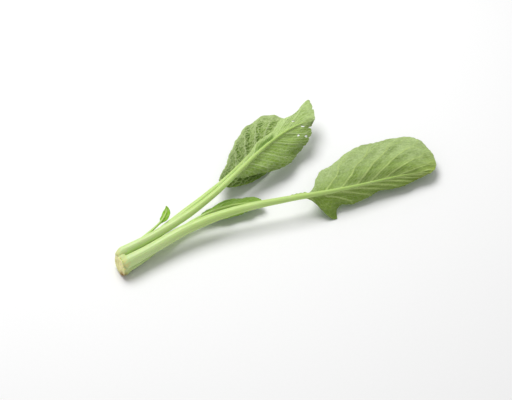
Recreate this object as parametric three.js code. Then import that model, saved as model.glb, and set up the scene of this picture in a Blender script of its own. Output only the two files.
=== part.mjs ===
// Choy sum: one whole cut plant lying face down, millimetres, +Z up, +X from the cut end to the leaf tips.
// A short stem base carries five leaves. Each leaf is a juicy stalk that tapers on as the midrib,
// and a thin waved blade that hangs under that midrib, so the paler underside looks up.
import * as THREE from 'three';
import { LoftGeometry } from 'three/addons/geometries/LoftGeometry.js';
import { mergeVertices } from 'three/addons/utils/BufferGeometryUtils.js';

// Driving dimensions, lengths in millimetres and angles in degrees
const BLADE_THICKNESS = 0.8;
const CLEARANCE = 0.3; // between a stalk and the stem base, and between a midrib and its blade
const FLOOR_CLEARANCE = 0.05; // lowest blade face above the surface that the plant lies on
const FLOOR_SOFTNESS = 1.5; // height over which a hanging blade settles on that surface
const WAVE_FADE = 10; // blade lines shorter than this wave less
const SPINE_STEPS = 240;
const STALK_SIDES = 14;
const STALK_SECTION = 7; // length of stalk between its sections
const STALK_FACE_SHARE = 0.6; // share of a stalk's height on its rounded outer side
const VEIN_LINES = 4; // blade lines for each side vein
const VEIN_BEND = 25; // how far a blade line turns towards the leaf tip
const VEIN_LEAN = 1; // how far a side vein leans from the blade lines towards the tip
const VEIN_CURVE = 0.7; // below one, that lean comes early, beside the midrib
const SCALLOP = 0.003; // margin swelling at each side vein, as a share of the line's length

// Stem base: an oval stub with a slanting cut, its end facing +X where the stalks begin
const STEM = {
  cutX: -130.4,
  endX: -123,
  centreY: 12.2,
  centreZ: 8.4,
  halfWidth: 10.4,
  halfHeight: 9.2,
  cutScale: 0.82, // size of the section at the cut, against the end
  cutSlant: 0.12, // how far the cut leans forward, for each millimetre of height
  cutTurn: 0.084, // how far it leans forward, for each millimetre across
  cutShift: -1.2, // sideways offset of the section at the cut, against the end
  ribHeight: 0.08, // swelling that runs out into each stalk, as a share of the radius
  ribAngle: 24, // half angle of that swelling
  sections: 6,
  sides: 44,
};

// Leaves. headings turn the spine to the left, pitches lift it, both as Bezier controls along the leaf.
// stalkWidth and stalkHeight are Bezier controls from the base to the end of the midrib.
// Each blade half has knots of [share of the midrib, length of the blade line], the angle at which the
// lines leave the midrib (fan), and the droop of the half beside the midrib and at its margin.
const LEAVES = [
  {
    name: 'front_leaf', baseY: 7.3, baseZ: 12.6, length: 280, bladeStart: 164, veins: 8, quilt: 0.9,
    headings: [0, 14, -40, -31, 3, -20], pitches: [0, 18, -15, 7, -10],
    stalkWidth: [10.4, 10, 8.8, 7.6, 5.8, 2.8, 1.2, 0.9],
    stalkHeight: [9.6, 8.2, 7.2, 6.4, 5, 2.8, 1.6, 1.1],
    back: {
      knots: [[0, 4], [0.08, 10.5], [0.16, 32], [0.22, 35.5], [0.34, 48], [0.49, 58], [0.63, 66],
        [0.72, 57], [0.82, 42], [1, 5]],
      fan: [100, 85, 55, 0], droopInner: [10, -10, -10, -10, -6], droopOuter: [20, 0, -4, -2, 10],
      wave: 1.2, waveCount: 3, wavePhase: 25,
    },
    front: {
      knots: [[0, 1.2], [0.05, 4], [0.1, 15.5], [0.17, 27], [0.2, 17.5], [0.32, 15.5], [0.5, 13],
        [0.72, 14], [0.86, 13], [1, 5]],
      fan: [95, 85, 60, 0], droopInner: [8, 52, 40, 30, 20], droopOuter: [35, 108, 96, 80, 60],
      wave: 1.2, waveCount: 3, wavePhase: 70,
    },
  },
  {
    name: 'top_leaf', baseY: 18.2, baseZ: 14.2, length: 227, bladeStart: 122, veins: 6, quilt: 0.6,
    headings: [0, -14, 14, 40, 8, 6], pitches: [0, 25, -8, 10, -15],
    stalkWidth: [8.6, 7.4, 6.2, 5, 3.8, 2.4, 1.2],
    stalkHeight: [8, 6.4, 5.4, 4.4, 3.4, 2.2, 1.2],
    back: {
      knots: [[0, 3], [0.12, 7.5], [0.3, 11.5], [0.5, 13.5], [0.56, 15], [0.63, 21.5], [0.7, 21.5],
        [0.76, 28], [0.79, 45], [0.83, 39], [0.91, 21], [1, 6]],
      fan: [95, 85, 60, 0], droopInner: [20, 20, 0, -20, -12], droopOuter: [35, 35, 5, -6, 0],
      wave: 1.5, waveCount: 3, wavePhase: 25,
    },
    front: {
      knots: [[0, 3], [0.17, 13.5], [0.27, 21.7], [0.41, 28.7], [0.5, 30.4], [0.62, 27.6], [0.74, 22.8],
        [0.82, 18], [1, 6]],
      fan: [95, 85, 60, 0], droopInner: [20, 22, 22, 18, 10], droopOuter: [55, 65, 65, 55, 30],
      wave: 2, waveCount: 3, wavePhase: 70,
    },
  },
  {
    name: 'back_leaf', baseY: 18.4, baseZ: 5.4, length: 219, bladeStart: 112, veins: 6, quilt: 2.2,
    headings: [0, 32, -31, 42, 38, 12], pitches: [0, 26, -9, -2, -11],
    stalkWidth: [9, 7.4, 6.2, 5, 3.8, 2.4, 1.2],
    stalkHeight: [7.6, 6.2, 5.2, 4.2, 3.2, 2.2, 1.2],
    back: {
      knots: [[0, 4], [0.09, 10], [0.22, 15], [0.35, 22.6], [0.53, 33], [0.69, 41], [0.75, 41.5],
        [0.86, 29.3], [1, 8]],
      fan: [95, 85, 60, 0], droopInner: [10, -4, -4, -2, 0], droopOuter: [20, 12, 12, 20, 30],
      wave: 0.9, waveCount: 4, wavePhase: 25,
    },
    front: {
      knots: [[0, 3], [0.2, 17], [0.4, 25], [0.6, 27], [0.8, 22], [1, 8]],
      fan: [95, 85, 60, 0], droopInner: [20, 30, 30, 20], droopOuter: [50, 60, 60, 40],
      wave: 1.5, waveCount: 3, wavePhase: 70,
    },
  },
  {
    name: 'inner_leaf', baseY: 8.2, baseZ: 4.2, length: 130, bladeStart: 76, veins: 4, quilt: 0.8,
    headings: [0, 36, -16, -28], pitches: [0, 5.5, 5.5, 14, -10],
    stalkWidth: [6.6, 5.2, 4.2, 3.2, 2.2, 1.2],
    stalkHeight: [5, 4.2, 3.4, 2.6, 1.8, 1.2],
    back: {
      knots: [[0, 2], [0.25, 10], [0.4, 13], [0.5, 17], [0.62, 16.5], [0.8, 17], [0.92, 12], [1, 6]],
      fan: [95, 85, 60, 0], droopInner: [0, 0, 0], droopOuter: [30, 40, 30],
      wave: 1, waveCount: 3, wavePhase: 25,
    },
    front: {
      knots: [[0, 2], [0.3, 10], [0.6, 12], [0.85, 9], [1, 6]],
      fan: [95, 85, 60, 0], droopInner: [0, 10, 0], droopOuter: [30, 50, 30],
      wave: 1, waveCount: 3, wavePhase: 70,
    },
  },
  {
    name: 'heart_leaf', baseY: 21.8, baseZ: 9.9, length: 60, bladeStart: 43, veins: 3, quilt: 0.4,
    headings: [0, 8, 8, 4, 60], pitches: [4, 15, 4, 8],
    stalkWidth: [2.6, 2.8, 2.6, 2, 1.2],
    stalkHeight: [2.6, 2.6, 2.4, 1.8, 1.2],
    back: {
      knots: [[0, 1.6], [0.3, 4.4], [0.6, 5.2], [0.85, 4], [1, 3]],
      fan: [95, 85, 60, 0], droopInner: [0, 0, 0], droopOuter: [30, 40, 30],
      wave: 0.5, waveCount: 2, wavePhase: 25,
    },
    front: {
      knots: [[0, 1.6], [0.3, 4], [0.6, 4.6], [0.85, 3.8], [1, 3]],
      fan: [95, 85, 60, 0], droopInner: [-15, -20, -15], droopOuter: [-15, -5, 5],
      wave: 0.5, waveCount: 2, wavePhase: 70,
    },
  },
];
const MIDRIB_END = 0.97; // share of the leaf's length at which the midrib runs out
const BLADE_ROWS = 7; // cells across each blade half
const MERGE_DISTANCE = 1e-4;

const STALK_FINISH = new THREE.MeshStandardMaterial({ color: 0xc3d88c, roughness: 0.45, metalness: 0 });
const BLADE_FINISH = new THREE.MeshStandardMaterial({ color: 0x96b262, roughness: 0.6, metalness: 0 });
const STEM_FINISH = new THREE.MeshStandardMaterial({ color: 0xe3e0a4, roughness: 0.7, metalness: 0 });

const radians = THREE.MathUtils.degToRad;

// Value of a one-dimensional Bezier curve at t, by de Casteljau's repeated blending
function bezier(controls, t) {
  let values = controls;
  while (values.length > 1) {
    values = values.slice(1).map((value, i) => THREE.MathUtils.lerp(values[i], value, t));
  }
  return values[0];
}

// Smooth cubic curve through [x, y] knots, each slope the mean of the two chords beside the knot
function throughKnots(knots, x) {
  const chords = knots.slice(1).map(([kx, ky], i) => (ky - knots[i][1]) / (kx - knots[i][0]));
  const last = chords.length - 1;
  const slopes = knots.map((_, i) => (chords[Math.max(i - 1, 0)] + chords[Math.min(i, last)]) / 2);
  const next = Math.max(1, knots.findIndex(([kx]) => kx >= x));
  const [x0, y0] = knots[next - 1];
  const [x1, y1] = knots[next];
  const span = x1 - x0;
  const t = (x - x0) / span;
  const rise = y0 * (1 + 2 * t) * (1 - t) ** 2 + y1 * t * t * (3 - 2 * t);
  return rise + span * (slopes[next - 1] * t * (1 - t) ** 2 - slopes[next] * t * t * (1 - t));
}

// End of an arc that turns evenly from angle a to angle b over its length, walked the given share
function arcEnd(length, a, b, share) {
  const half = ((b - a) * share) / 2;
  const chord = length * share * (half === 0 ? 1 : Math.sin(half) / half);
  return [chord * Math.cos(a + half), chord * Math.sin(a + half)];
}

// Height settled softly on the surface, so that nothing sinks below the lowest height
function settle(height, lowest) {
  const x = (height - lowest) / FLOOR_SOFTNESS;
  return lowest + FLOOR_SOFTNESS * (Math.max(x, 0) + Math.log1p(Math.exp(-Math.abs(x))));
}

// Centre line of a leaf: unit steps turned by heading and pitch, each with a frame of three directions
function makeSpine(leaf) {
  const step = leaf.length / SPINE_STEPS;
  const point = new THREE.Vector3(STEM.endX + CLEARANCE, leaf.baseY, leaf.baseZ);
  const stations = [];
  for (let i = 0; i <= SPINE_STEPS; i += 1) {
    const heading = radians(bezier(leaf.headings, i / SPINE_STEPS));
    const pitch = radians(bezier(leaf.pitches, i / SPINE_STEPS));
    const along = new THREE.Vector3(
      Math.cos(pitch) * Math.cos(heading), Math.cos(pitch) * Math.sin(heading), Math.sin(pitch));
    if (i > 0) {
      point.addScaledVector(stations[i - 1].along, step / 2).addScaledVector(along, step / 2);
    }
    const across = new THREE.Vector3(-Math.sin(heading), Math.cos(heading), 0);
    const up = new THREE.Vector3().crossVectors(along, across);
    stations.push({ point: point.clone(), along, across, up });
  }
  return stations;
}

// Frame at a share of the spine, blended between its two nearest stations
function frameAt(spine, share) {
  const place = THREE.MathUtils.clamp(share, 0, 1) * SPINE_STEPS;
  const i = Math.min(Math.floor(place), SPINE_STEPS - 1);
  const blend = (key) => spine[i][key].clone().lerp(spine[i + 1][key], place - i);
  return { point: blend('point'), along: blend('along'), across: blend('across'), up: blend('up') };
}

// Half height of the stalk on its flat inner side, which faces the blade
function innerDepth(leaf, share) {
  const height = bezier(leaf.stalkHeight, Math.min(share / MIDRIB_END, 1));
  return height * (1 - STALK_FACE_SHARE);
}

// Stalk and midrib: a tapering section, rounder on its outer side, carried along the spine
function stalkGeometry(leaf, spine) {
  const count = Math.round(leaf.length / STALK_SECTION);
  const sections = [];
  for (let i = 0; i <= count; i += 1) {
    const share = (MIDRIB_END * i) / count;
    const { point, across, up } = frameAt(spine, share);
    const halfWidth = bezier(leaf.stalkWidth, i / count) / 2;
    const height = bezier(leaf.stalkHeight, i / count);
    const ring = [];
    for (let j = 0; j < STALK_SIDES; j += 1) {
      const angle = (2 * Math.PI * j) / STALK_SIDES;
      const reach = Math.sin(angle) > 0 ? height * STALK_FACE_SHARE : height * (1 - STALK_FACE_SHARE);
      ring.push(point.clone()
        .addScaledVector(across, halfWidth * Math.cos(angle))
        .addScaledVector(up, reach * Math.sin(angle)));
    }
    sections.push(ring);
  }
  return new LoftGeometry(sections, { capStart: true, capEnd: true });
}

// Point in the middle of the blade's thickness and the direction through it. The line leaves the midrib
// at its fan angle and bends towards the tip, and the half droops as an arc. Side veins stand up between
// quilted hollows and lean towards the tip, and the margin waves.
function bladePoint(leaf, spine, side, share, reach) {
  const half = side > 0 ? leaf.back : leaf.front;
  const spineShare = (leaf.bladeStart + (leaf.length - leaf.bladeStart) * share) / leaf.length;
  const { point, along, across, up } = frameAt(spine, spineShare);
  const veinPhase = (place) => 2 * Math.PI * leaf.veins * share ** (1 + VEIN_LEAN * place ** VEIN_CURVE);
  const lineLength = throughKnots(half.knots, share) * (1 + SCALLOP * Math.cos(veinPhase(1)));
  const fan = radians(bezier(half.fan, share));
  const fanEnd = Math.max(0, fan - radians(VEIN_BEND) * Math.min(1, 2 * (1 - share)));
  const [forward, sideways] = arcEnd(lineLength, fan, fanEnd, reach);
  const fullWidth = arcEnd(lineLength, fan, fanEnd, 1)[1];
  const inner = radians(bezier(half.droopInner, share));
  const outer = radians(bezier(half.droopOuter, share));
  const widthShare = fullWidth > 0 ? sideways / fullWidth : 0;
  const [out, down] = arcEnd(fullWidth, inner, outer, widthShare);
  const tilt = THREE.MathUtils.lerp(inner, outer, widthShare);
  const facing = reach > 0 ? tilt : 0;
  const normal = up.clone().multiplyScalar(Math.cos(facing))
    .addScaledVector(across, side * Math.sin(facing));
  const fade = Math.min(1, lineLength / WAVE_FADE) * Math.sqrt(Math.sin(Math.PI * share));
  const hollow = leaf.quilt * (0.5 - 0.5 * Math.cos(veinPhase(reach))) * 4 * reach * (1 - reach);
  const wave = half.wave * reach * reach
    * Math.sin(2 * Math.PI * half.waveCount * share + radians(half.wavePhase));
  const seat = innerDepth(leaf, spineShare) + CLEARANCE + BLADE_THICKNESS / 2;
  point.addScaledVector(across, side * out)
    .addScaledVector(up, -down - seat)
    .addScaledVector(along, forward)
    .addScaledVector(normal, (wave - hollow) * fade);
  point.z = settle(point.z, BLADE_THICKNESS / 2 + FLOOR_CLEARANCE);
  return { point, normal };
}

// Blade: lines fan out from the midrib, up the back half to the tip and down the front half. Both faces
// have the same triangles, and a rim closes them all round.
function bladeGeometry(leaf, spine) {
  const lines = leaf.veins * VEIN_LINES;
  const lastLine = 2 * lines;
  const positions = [];
  const triangles = [];
  const vertex = (line, row) => 2 * (row === 0
    ? Math.min(line, lastLine - line)
    : lines + 1 + line * BLADE_ROWS + row - 1);
  const addPair = ({ point, normal }) => {
    const upper = point.clone().addScaledVector(normal, BLADE_THICKNESS / 2);
    const lower = point.clone().addScaledVector(normal, -BLADE_THICKNESS / 2);
    positions.push(...upper.toArray(), ...lower.toArray());
  };
  const addWall = (a, b) => triangles.push(a, b, b + 1, a, b + 1, a + 1);

  for (let line = 0; line <= lines; line += 1) {
    addPair(bladePoint(leaf, spine, 1, line / lines, 0));
  }
  for (let line = 0; line <= lastLine; line += 1) {
    const side = line <= lines ? 1 : -1;
    const share = Math.min(line, lastLine - line) / lines;
    for (let row = 1; row <= BLADE_ROWS; row += 1) {
      addPair(bladePoint(leaf, spine, side, share, row / BLADE_ROWS));
    }
  }
  for (let line = 0; line < lastLine; line += 1) {
    for (let row = 0; row < BLADE_ROWS; row += 1) {
      const a = vertex(line, row);
      const b = vertex(line + 1, row);
      const c = vertex(line + 1, row + 1);
      const d = vertex(line, row + 1);
      triangles.push(a, b, c, a, c, d);
      triangles.push(a + 1, c + 1, b + 1, a + 1, d + 1, c + 1);
    }
    addWall(vertex(line, BLADE_ROWS), vertex(line + 1, BLADE_ROWS));
  }
  for (let row = 0; row < BLADE_ROWS; row += 1) {
    addWall(vertex(0, row), vertex(0, row + 1));
    addWall(vertex(lastLine, row + 1), vertex(lastLine, row));
  }
  const geometry = new THREE.BufferGeometry();
  geometry.setAttribute('position', new THREE.Float32BufferAttribute(positions, 3));
  geometry.setIndex(triangles);
  return geometry;
}

// Swelling of the stem base at an angle round its axis: a bell-shaped rib behind each stalk
function stemRibs(angle) {
  const half = radians(STEM.ribAngle);
  return LEAVES.reduce((sum, leaf) => {
    const middle = Math.atan2(leaf.baseZ - STEM.centreZ, leaf.baseY - STEM.centreY);
    const turn = Math.atan2(Math.sin(angle - middle), Math.cos(angle - middle));
    return sum + STEM.ribHeight * Math.exp(-((turn / half) ** 2));
  }, 0);
}

// Stem base: a ribbed oval, lofted from the slanting cut to the flat end, with a flat spot below
function stemGeometry() {
  const sections = [];
  for (let i = 0; i < STEM.sections; i += 1) {
    const share = i / (STEM.sections - 1);
    const scale = THREE.MathUtils.lerp(STEM.cutScale, 1, Math.sqrt(share));
    const middle = STEM.centreY + STEM.cutShift * (1 - share);
    const ring = [];
    for (let j = 0; j < STEM.sides; j += 1) {
      const angle = (2 * Math.PI * j) / STEM.sides;
      const radius = scale * (1 + share * stemRibs(angle));
      const y = middle + STEM.halfWidth * radius * Math.cos(angle);
      const z = Math.max(0, STEM.centreZ + STEM.halfHeight * radius * Math.sin(angle));
      const cut = STEM.cutX + STEM.cutSlant * (z - STEM.centreZ) + STEM.cutTurn * (y - middle);
      ring.push(new THREE.Vector3(THREE.MathUtils.lerp(cut, STEM.endX, share), y, z));
    }
    sections.push(ring);
  }
  return new LoftGeometry(sections, { capStart: true, capEnd: true });
}

// Named mesh of a closed solid whose shared corners are merged
function namedMesh(name, geometry, finish) {
  const bare = new THREE.BufferGeometry();
  bare.setAttribute('position', geometry.getAttribute('position'));
  bare.setIndex(geometry.getIndex());
  const solid = mergeVertices(bare, MERGE_DISTANCE);
  solid.computeVertexNormals();
  const mesh = new THREE.Mesh(solid, finish);
  mesh.name = name;
  return mesh;
}

const plant = new THREE.Group();
plant.add(namedMesh('stem_base', stemGeometry(), STEM_FINISH));
for (const leaf of LEAVES) {
  const spine = makeSpine(leaf);
  plant.add(namedMesh(`${leaf.name}_stalk`, stalkGeometry(leaf, spine), STALK_FINISH));
  plant.add(namedMesh(`${leaf.name}_blade`, bladeGeometry(leaf, spine), BLADE_FINISH));
}

// The origin is the middle of the plant's bounding box, on the surface that it lies on
const box = new THREE.Box3().setFromObject(plant, true);
const middle = box.getCenter(new THREE.Vector3());
plant.position.set(-middle.x, -middle.y, -box.min.z);

export default plant;
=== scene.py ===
import math

import bpy
import numpy as np
from bpy.props import FloatProperty, FloatVectorProperty, PointerProperty
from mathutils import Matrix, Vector


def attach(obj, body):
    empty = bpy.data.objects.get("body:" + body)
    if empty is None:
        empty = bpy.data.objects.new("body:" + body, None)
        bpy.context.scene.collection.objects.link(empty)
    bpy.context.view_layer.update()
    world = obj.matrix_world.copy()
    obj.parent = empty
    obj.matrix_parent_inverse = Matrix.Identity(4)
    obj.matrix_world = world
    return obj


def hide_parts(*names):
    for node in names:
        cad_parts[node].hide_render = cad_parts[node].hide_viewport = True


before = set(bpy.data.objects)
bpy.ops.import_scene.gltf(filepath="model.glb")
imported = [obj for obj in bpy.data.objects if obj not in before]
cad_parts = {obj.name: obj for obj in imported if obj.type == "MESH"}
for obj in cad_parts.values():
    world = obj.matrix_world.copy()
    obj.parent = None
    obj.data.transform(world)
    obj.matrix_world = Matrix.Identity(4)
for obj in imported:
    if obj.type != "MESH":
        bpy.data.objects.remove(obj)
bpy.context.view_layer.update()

bl_info = {
    "name": "Choy Sum",
    "version": (1, 0, 0),
    "blender": (4, 5, 0),
    "location": "3D View > Sidebar > Choy Sum",
    "description": "Dresses one cut choy sum plant that lies face down: stem base, stalks and veined blades",
    "category": "Add Mesh",
}

MM = 0.001

# Lengths are in millimetres, before the plant's origin is moved under the middle of its box
ORIGIN = np.array([19.67, 23.93, 0.0])
CLEARANCE = 0.3
FRAME_THICKNESS = 0.8
FLOOR_SOFTNESS = 1.5
FLOOR_CLEARANCE = 0.05
SPINE_STEPS = 240
FACE_SHARE = 0.6
MIDRIB_END = 0.97
ROOT_LENGTH = 6.2

# Side veins: their bend and lean to the tip, sway, width, the fork near the margin and the finer ones between
FAN = [95, 85, 60, 0]
VEIN_BEND = 25
VEIN_LEAN = 1.0
VEIN_CURVE = 0.7
VEIN_SWAY = 0.09
SWAY_PITCH = 22
VEIN_WIDTH, VEIN_THINNING, VEIN_FALL = 0.85, 0.45, 0.4
FORK, FORK_START = 0.24, 0.6
FINE_RANKS = 4
FINE_WIDTH, FINE_HEIGHT, PLEAT_HEIGHT = 0.5, 0.15, 0.25
LEAST_PACE = 1e-3

# Margins: the taper at the base, the scallops, and teeth that fade where the blade is narrow and near the tip
BASE_TAPER = 5
BASE_WIDTH = 0.25
SCALLOP = 0.003
TOOTH = 0.32
TOOTH_PITCH = 3.2
TOOTH_SHIFT = 40
TOOTH_FADE = 15
TOOTH_STOP, TOOTH_FULL = 0.95, 0.65

# Relief of the blades
WAVE_FADE = 10
HOLLOW_FADE = 30
BUCKLE_PITCH = 14
NET_WARP_PITCH = 9
NET_LEVEL = 0.4
RIM_START, RIM_END = 0.8, 0.98
RIM_THINNING = 0.4
FILLET_WIDTH, FILLET_LEAST, FILLET_HEIGHT = 1.35, 0.4, 0.5
UNDER_VEIN = 0.4
CREASE_FULL, CREASE_EASE, CREASE_PAST = 0.04, 0.05, 0.03

# Painted shade (dusk) beside the midrib, as a reach that widens with the share, and at the margin
DUSK_WIDTH, DUSK_WIDENING, DUSK_FULL = 0.3, 0.45, 0.1
MARGIN_DUSK, MARGIN_DUSK_FULL = 0.3, 0.95

FLOOR_LINES = 9
SENSOR_WIDTH = 36.0

# What each field adds to its leaf's seed
DRAWS = dict(veins=1, net=2, buckles=3, stalk=5, net_warp=6, wing=8, teeth=9)

STALK = dict(
    step=0.8, sides=72, end=0.99, swell=0.06, swell_length=6, root_narrowing=0.32, point=0.12,
    bump=0.02, bump_pitch=26, groove=0.22, groove_width=0.42, wing_width=0.13, notch_pitch=3.5,
)

STEM = dict(
    cut_x=-130.4, end_x=-123, centre_y=12.2, centre_z=8.4, half_width=10.4, half_height=9.2,
    cut_scale=0.82, cut_slant=0.12, cut_turn=0.084, cut_shift=-1.2, rib_height=0.08, rib_angle=24,
    lip=0.14, ragged=0.012, tooth=0.11, tooth_place=0.16, tooth_width=0.09, dish=0.9, dish_radius=0.5,
    fibre=0.35, fibre_ring=0.74, fibre_width=0.09, grain=0.12, grain_pitch=1.6, dry_angle=224, dry_width=0.7,
    ragged_seed=71, grain_seed=73, tooth_seed=77,
)

# headings turn a leaf to its left and pitches lift it, as Bezier controls in degrees along the leaf.
# knots are [share of the midrib, length of the blade line]. The lines leave it at the angles of FAN or fan.
# inner and outer are the droop in degrees beside the midrib and at the margin.
# lean replaces VEIN_LEAN, and bites are [share, depth, width] of nibbled places in a margin.
# lines and rows are the blade's grid, net the depth of its crinkle cells and buckle the height of its bumps.
# crinkle, pleat, fresh and tone choose the blade's looks.
# A crease on the back half is (start, end, centre, width, depth): shares along, reaches across, and a depth.
# It sinks the blade and paints a shadow in the fold. The dust cover is pale wax on the back half, and painted
# light that grows to the margin: where it starts, where it is full and its amount, by reach and by share.
# dusk is painted shade: how much darker the back half is beside the midrib, and the front half at its margin.
# A hole is (half, share, reach, long radius, short radius, turn), and a wing on a stalk (start, end, height).
LEAVES = [
    dict(
        name="front_leaf", base_y=7.3, base_z=12.6, length=280, blade_start=164, veins=8, quilt=0.9,
        headings=[0, 14, -40, -31, 3, -20], pitches=[0, 18, -15, 7, -10],
        stalk_width=[10.4, 10, 8.8, 7.6, 5.8, 2.8, 1.2, 0.9],
        stalk_height=[9.6, 8.2, 7.2, 6.4, 5, 2.8, 1.6, 1.1],
        back=dict(
            knots=[[0, 4], [0.08, 10.5], [0.16, 32], [0.22, 35.5], [0.34, 48], [0.49, 58], [0.63, 66],
                   [0.72, 57], [0.82, 42], [1, 5]],
            fan=[100, 85, 55, 0], inner=[10, -10, -10, -10, -6], outer=[20, 0, -4, -2, 10],
            wave=1.2, waves=3, phase=25),
        front=dict(
            knots=[[0, 1.2], [0.05, 4], [0.1, 15.5], [0.17, 27], [0.2, 17.5], [0.32, 15.5], [0.5, 13],
                   [0.72, 14], [0.86, 13], [1, 5]],
            inner=[8, 52, 40, 30, 20], outer=[35, 108, 96, 80, 60],
            wave=1.2, waves=3, phase=70),
        lines=220, rows=84, net=0.25, net_cell=4.5, net_squash=0.8, buckle=0.55,
        crinkle=0.2, pleat=0.2, fresh=0.0, tone=1.0, seed=11, wing=(150, 171, 4.0),
        dust_and_shading=dict(margin=(0.15, 0.75, 0.95), tip=(0.68, 0.95, -0.85)), dusk=(0.3, 0.12),
    ),
    dict(
        name="top_leaf", base_y=18.2, base_z=14.2, length=227, blade_start=122, veins=6, quilt=0.6,
        headings=[0, -14, 14, 40, 8, 6], pitches=[0, 25, -8, 10, -15],
        stalk_width=[8.6, 7.4, 6.2, 5, 3.8, 2.4, 1.2], stalk_height=[8, 6.4, 5.4, 4.4, 3.4, 2.2, 1.2],
        back=dict(
            knots=[[0, 3], [0.12, 7.5], [0.3, 11.5], [0.5, 13.5], [0.56, 15], [0.63, 21.5], [0.7, 21.5],
                   [0.76, 28], [0.79, 45], [0.83, 39], [0.91, 21], [1, 6]],
            inner=[20, 20, 0, -20, -12], outer=[35, 35, 5, -6, 0],
            wave=1.5, waves=3, phase=25, bites=[[0.85, 3, 0.006], [0.815, 1.2, 0.005]]),
        front=dict(
            knots=[[0, 3], [0.17, 13.5], [0.27, 21.7], [0.41, 28.7], [0.5, 30.4], [0.62, 27.6],
                   [0.74, 22.8], [0.82, 18], [1, 6]],
            inner=[20, 22, 22, 18, 10], outer=[55, 65, 65, 55, 30],
            wave=2, waves=3, phase=70, lean=0.45,
            bites=[[0.835, 3.2, 0.012], [0.69, 1.6, 0.01], [0.6, 0.8, 0.01]]),
        lines=240, rows=66, net=0.15, net_cell=3.6, net_squash=0.7, buckle=0.4,
        crinkle=0.15, pleat=1.0, fresh=0.1, tone=1.25, seed=23, crease=(0.15, 0.57, 0.44, 0.27, 0.8),
        dust_and_shading=dict(margin=(0.3, 0.95, 0.4), tip=(0.55, 0.75, 0.35)), dusk=(0.0, 0.28),
        holes=[(1, 0.763, 0.42, 1.4, 0.9, 20), (-1, 0.848, 0.33, 2.3, 0.65, 85),
               (-1, 0.7, 0.535, 1.6, 0.8, 125), (-1, 0.705, 0.84, 1.8, 1.1, 120)],
    ),
    dict(
        name="back_leaf", base_y=18.4, base_z=5.4, length=219, blade_start=112, veins=6, quilt=2.2,
        headings=[0, 32, -31, 42, 38, 12], pitches=[0, 26, -9, -2, -11],
        stalk_width=[9, 7.4, 6.2, 5, 3.8, 2.4, 1.2], stalk_height=[7.6, 6.2, 5.2, 4.2, 3.2, 2.2, 1.2],
        back=dict(
            knots=[[0, 4], [0.09, 10], [0.22, 15], [0.35, 22.6], [0.53, 33], [0.69, 41], [0.75, 41.5],
                   [0.86, 29.3], [1, 8]],
            inner=[10, -4, -4, -2, 0], outer=[20, 12, 12, 20, 30],
            wave=0.9, waves=4, phase=25),
        front=dict(
            knots=[[0, 3], [0.2, 17], [0.4, 25], [0.6, 27], [0.8, 22], [1, 8]],
            inner=[20, 30, 30, 20], outer=[50, 60, 60, 40],
            wave=1.5, waves=3, phase=70),
        lines=220, rows=84, net=0.9, net_cell=3.4, net_squash=0.6, buckle=0.5,
        crinkle=1.0, pleat=0.0, fresh=0.0, tone=0.95, seed=37,
        dust_and_shading=dict(margin=(0.45, 0.95, 0.9), tip=(0.7, 0.95, 0.4)), dusk=(0.1, 0.0),
    ),
    dict(
        name="inner_leaf", base_y=8.2, base_z=4.2, length=130, blade_start=76, veins=4, quilt=0.8,
        headings=[0, 36, -16, -28], pitches=[0, 5.5, 5.5, 14, -10],
        stalk_width=[6.6, 5.2, 4.2, 3.2, 2.2, 1.2], stalk_height=[5, 4.2, 3.4, 2.6, 1.8, 1.2],
        back=dict(
            knots=[[0, 2], [0.25, 10], [0.4, 13], [0.5, 17], [0.62, 16.5], [0.8, 17], [0.92, 12], [1, 6]],
            inner=[0, 0, 0], outer=[30, 40, 30], wave=1, waves=3, phase=25),
        front=dict(
            knots=[[0, 2], [0.3, 10], [0.6, 12], [0.85, 9], [1, 6]],
            inner=[0, 10, 0], outer=[30, 50, 30], wave=1, waves=3, phase=70),
        lines=110, rows=32, net=0.2, net_cell=3.5, net_squash=0.8, buckle=0.3,
        crinkle=0.25, pleat=0.9, fresh=0.8, tone=1.05, seed=41, crease=(0.22, 0.52, 0.74, 0.17, 0.3),
    ),
    dict(
        name="heart_leaf", base_y=21.8, base_z=9.9, length=60, blade_start=43, veins=3, quilt=0.4,
        headings=[0, 8, 8, 4, 60], pitches=[4, 15, 4, 8],
        stalk_width=[2.6, 2.8, 2.6, 2, 1.2], stalk_height=[2.6, 2.6, 2.4, 1.8, 1.2],
        back=dict(
            knots=[[0, 1.6], [0.3, 4.4], [0.6, 5.2], [0.85, 4], [1, 3]],
            inner=[0, 0, 0], outer=[30, 40, 30], wave=0.5, waves=2, phase=25),
        front=dict(
            knots=[[0, 1.6], [0.3, 4], [0.6, 4.6], [0.85, 3.8], [1, 3]],
            inner=[-15, -20, -15], outer=[-15, -5, 5], wave=0.5, waves=2, phase=70),
        lines=64, rows=24, net=0.12, net_cell=2.6, net_squash=0.8, buckle=0.2,
        crinkle=0.2, pleat=0.3, fresh=1.0, tone=1.3, seed=53,
    ),
]


def bezier(controls, t):
    """A one-dimensional Bezier curve: neighbouring controls are blended by t until one value is left."""
    values = [np.full_like(t, control) for control in controls]
    while len(values) > 1:
        values = [a + (b - a) * t for a, b in zip(values, values[1:])]
    return values[0]


def through_knots(knots, x):
    """A cubic through the knots, each slope the mean of the two chords beside the knot."""
    knot_x, knot_y = np.array(knots, float).T
    chords = np.diff(knot_y) / np.diff(knot_x)
    slopes = (np.append(chords[0], chords) + np.append(chords, chords[-1])) / 2
    i = np.clip(np.searchsorted(knot_x, x), 1, len(knot_x) - 1)
    span = knot_x[i] - knot_x[i - 1]
    t = (x - knot_x[i - 1]) / span
    rise = knot_y[i - 1] * (1 + 2 * t) * (1 - t) ** 2 + knot_y[i] * t * t * (3 - 2 * t)
    return rise + span * (slopes[i - 1] * t * (1 - t) ** 2 - slopes[i] * t * t * (1 - t))


def arc_end(length, a, b, share):
    """End of an arc that turns evenly from angle a to b, after a share of its length: chord times
    direction."""
    half = (b - a) * share / 2
    chord = length * share * np.sinc(half / np.pi)
    return chord * np.cos(a + half), chord * np.sin(a + half)


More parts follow.
